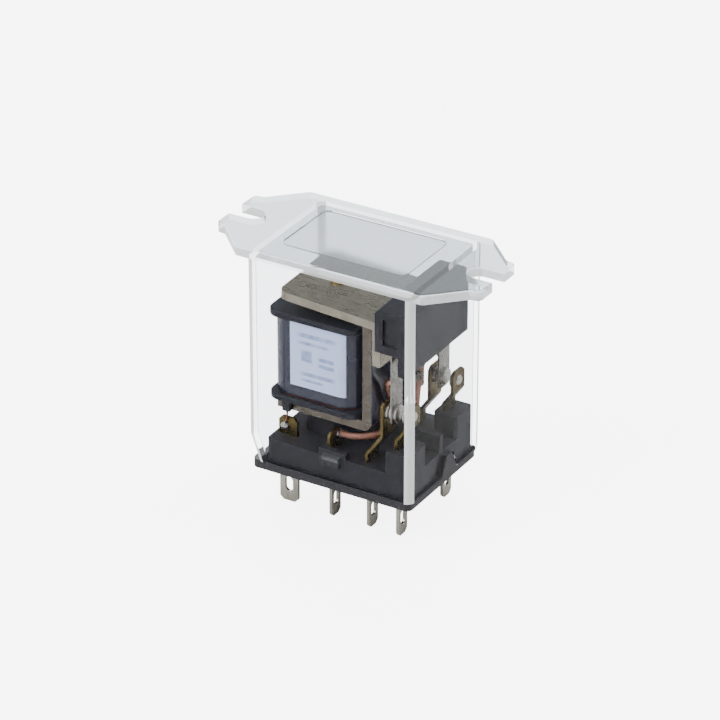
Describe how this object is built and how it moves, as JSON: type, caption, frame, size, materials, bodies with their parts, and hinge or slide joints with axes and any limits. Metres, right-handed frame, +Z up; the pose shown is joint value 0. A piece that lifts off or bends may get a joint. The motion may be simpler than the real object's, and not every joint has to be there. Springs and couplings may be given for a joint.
{
  "type": "plug-in relay",
  "caption": "Plug-in changeover relay: coil, rocking armature and contacts under a clear cover with a slotted top flange, on a black base with flat blades.",
  "frame": {"origin": "under the middle of the body, at the level of the blade tips", "axes": "+Z up from the blades to the flange, +X along the flange towards the contact end, -Y towards the labelled side of the coil"},
  "size_m": [0.0446, 0.021, 0.0428],
  "materials": {
    "clear_cover": "clear moulded polycarbonate, glossy",
    "base_moulding": "black moulded phenolic, satin",
    "block_moulding": "black moulded plastic, satin",
    "bobbin_moulding": "dark grey moulded nylon",
    "coil_tape": "dark insulating film",
    "coil_label": "pale blue label",
    "plated_iron": "nickel-plated soft iron",
    "plated_steel": "zinc-plated steel",
    "copper": "enamelled copper",
    "copper_braid": "fine copper braid",
    "terminal_brass": "brass",
    "tinned_brass": "tin-plated brass",
    "spring_bronze": "phosphor bronze",
    "silver_contact": "silver alloy",
    "solder": "tin solder"
  },
  "bodies": {
    "root": {"cover": "clear_cover", "base": "base_moulding", "frame_screw": "plated_steel", "yoke": "plated_iron", "core": "plated_iron", "shading_ring": "copper", "coil_bobbin": "bobbin_moulding", "coil_winding": "copper", "coil_tape": "coil_tape", "coil_label": "coil_label", "insulator": "coil_tape", "return_spring": "plated_steel", "com_terminal_front": "tinned_brass", "nc_terminal_front": "tinned_brass", "no_terminal_front": "tinned_brass", "coil_terminal_front": "tinned_brass", "nc_contact_front": "silver_contact", "no_contact_front": "silver_contact", "lead_front": "copper_braid", "coil_wire_front": "copper", "coil_solder_front": "solder", "com_terminal_back": "tinned_brass", "nc_terminal_back": "tinned_brass", "no_terminal_back": "tinned_brass", "coil_terminal_back": "tinned_brass", "nc_contact_back": "silver_contact", "no_contact_back": "silver_contact", "lead_back": "copper_braid", "coil_wire_back": "copper", "coil_solder_back": "solder"},
    "armature": {"armature": "plated_iron", "residual_pin": "terminal_brass", "contact_block": "block_moulding", "block_rivets": "terminal_brass", "moving_spring_front": "spring_bronze", "moving_spring_back": "spring_bronze", "moving_contact_front": "silver_contact", "moving_contact_back": "silver_contact"}
  },
  "joints": [
    {"name": "armature_pivot", "type": "hinge", "parent": "root", "child": "armature", "pos_m": [0.0054, 0, 0.0332], "axis": [0, -1, 0], "range_deg": [0, 4], "stiffness_Nm_per_rad": 0.005, "springref_deg": -17.19, "deforming": ["return_spring"]}
  ]
}
